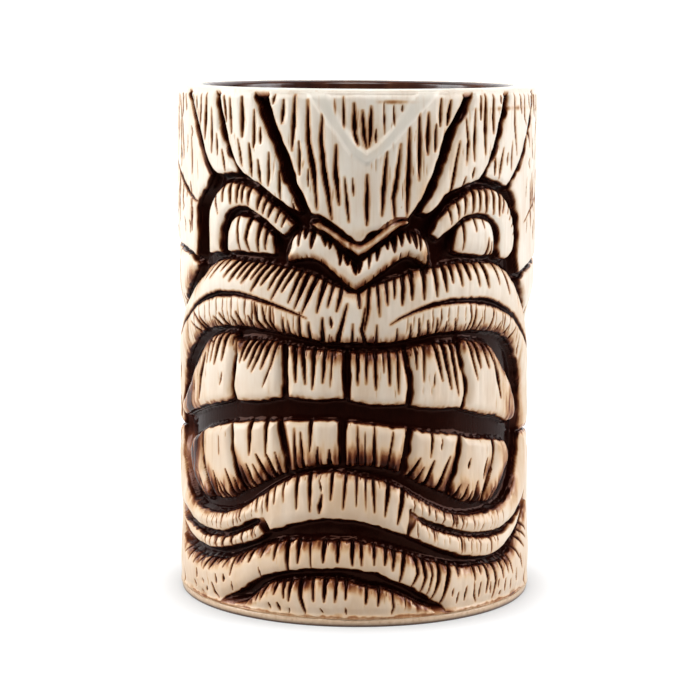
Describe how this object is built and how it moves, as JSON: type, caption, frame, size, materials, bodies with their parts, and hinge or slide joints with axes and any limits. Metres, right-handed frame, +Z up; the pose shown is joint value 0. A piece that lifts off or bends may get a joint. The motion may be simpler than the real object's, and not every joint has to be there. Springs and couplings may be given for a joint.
{
  "type": "tiki mug",
  "caption": "Straight ceramic cup with no handle, its outside carved in low relief into a scowling face with bared teeth and bark grain.",
  "frame": {"origin": "centre of the foot, on the plane that the mug stands on", "axes": "+Z up, out of the open top; the face looks towards -Y; +X is on the right of someone who looks at the face"},
  "size_m": [0.089, 0.089, 0.125],
  "materials": {
    "carved_glaze": "satin ivory glaze, rubbed with brown in every cut",
    "groove_glaze": "glossy brown-black glaze pooled in the grooves, ivory on the rim",
    "well_glaze": "glossy dark brown glaze",
    "foot_glaze": "satin ivory glaze on the side of the foot, bare clay under it"
  },
  "bodies": {
    "root": {"cup_shell": "groove_glaze", "inner_glaze": "well_glaze", "foot_ring": "foot_glaze", "forehead_center": "carved_glaze", "forehead_left_inner": "carved_glaze", "forehead_left_outer": "carved_glaze", "forehead_right_inner": "carved_glaze", "forehead_right_outer": "carved_glaze", "temple_left": "carved_glaze", "temple_right": "carved_glaze", "brow_arch_left": "carved_glaze", "brow_arch_right": "carved_glaze", "eye_left": "carved_glaze", "eye_right": "carved_glaze", "nose_bridge": "carved_glaze", "nose": "carved_glaze", "upper_lip": "carved_glaze", "upper_tooth_1": "carved_glaze", "upper_tooth_2": "carved_glaze", "upper_tooth_3": "carved_glaze", "upper_tooth_4": "carved_glaze", "upper_tooth_5": "carved_glaze", "upper_tooth_6": "carved_glaze", "lower_tooth_1": "carved_glaze", "lower_tooth_2": "carved_glaze", "lower_tooth_3": "carved_glaze", "lower_tooth_4": "carved_glaze", "lower_tooth_5": "carved_glaze", "lower_tooth_6": "carved_glaze", "lower_tooth_7": "carved_glaze", "lower_tooth_8": "carved_glaze", "lower_lip": "carved_glaze", "lip_fold_left": "carved_glaze", "lip_fold_right": "carved_glaze", "jaw_band": "carved_glaze", "chin": "carved_glaze", "side_left": "carved_glaze", "side_right": "carved_glaze", "back_bark": "carved_glaze"}
  },
  "joints": []
}
